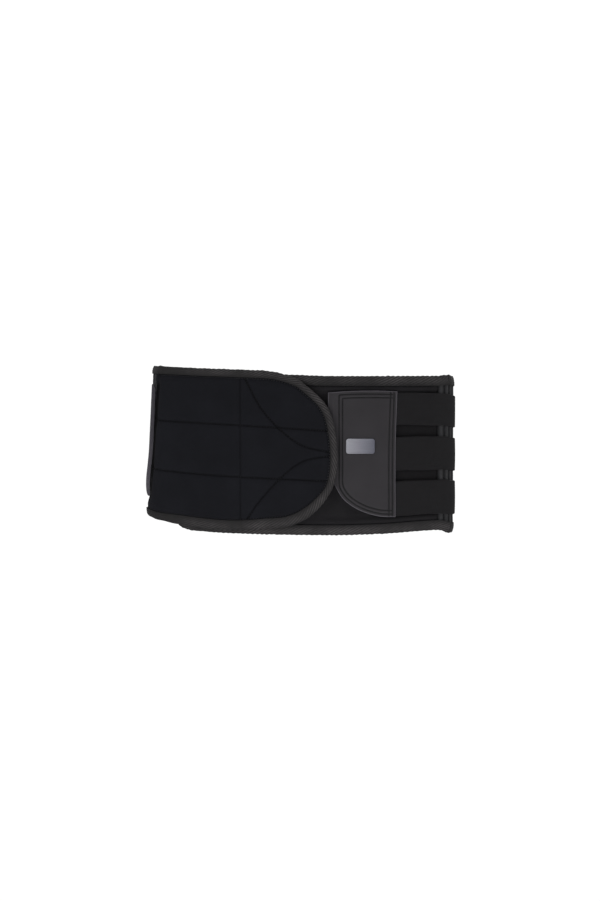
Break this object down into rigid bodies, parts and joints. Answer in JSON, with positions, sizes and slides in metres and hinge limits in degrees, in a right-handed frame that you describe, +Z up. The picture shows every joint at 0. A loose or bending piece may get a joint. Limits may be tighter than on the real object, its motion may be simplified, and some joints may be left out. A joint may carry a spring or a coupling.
{
  "type": "kidney belt",
  "caption": "Closed oval kidney belt: padded front flap over a right panel, ribbed side gussets, taped edges, elastic bands and rubber pull tabs.",
  "frame": {"origin": "under the middle of the belt's overall box, on the surface that it stands on", "axes": "+X to the belt's right as seen from the front, -Y towards the front, +Z up"},
  "size_m": [0.3884, 0.1296, 0.206],
  "materials": {
    "padded_cloth": "matt navy-black padded cloth with a fine nap",
    "ribbed_stretch": "black stretch cloth with upright ribs",
    "edge_tape": "warm grey-black twill edge tape",
    "elastic_band": "black woven elastic with fine ribs along it",
    "tab_rubber": "matt dark grey rubberised sheet with double stitching",
    "badge_plate": "satin silver-grey plate"
  },
  "bodies": {
    "root": {"flap": "padded_cloth", "right_panel": "padded_cloth", "back_panel": "padded_cloth", "left_gusset": "ribbed_stretch", "right_gusset": "ribbed_stretch", "flap_binding": "edge_tape", "right_binding": "edge_tape", "back_binding_top": "edge_tape", "back_binding_bottom": "edge_tape", "right_band_top": "elastic_band", "right_band_middle": "elastic_band", "right_band_bottom": "elastic_band", "left_band_top": "elastic_band", "left_band_middle": "elastic_band", "left_band_bottom": "elastic_band", "right_tab": "tab_rubber", "left_tab": "tab_rubber", "badge": "badge_plate"}
  },
  "joints": []
}
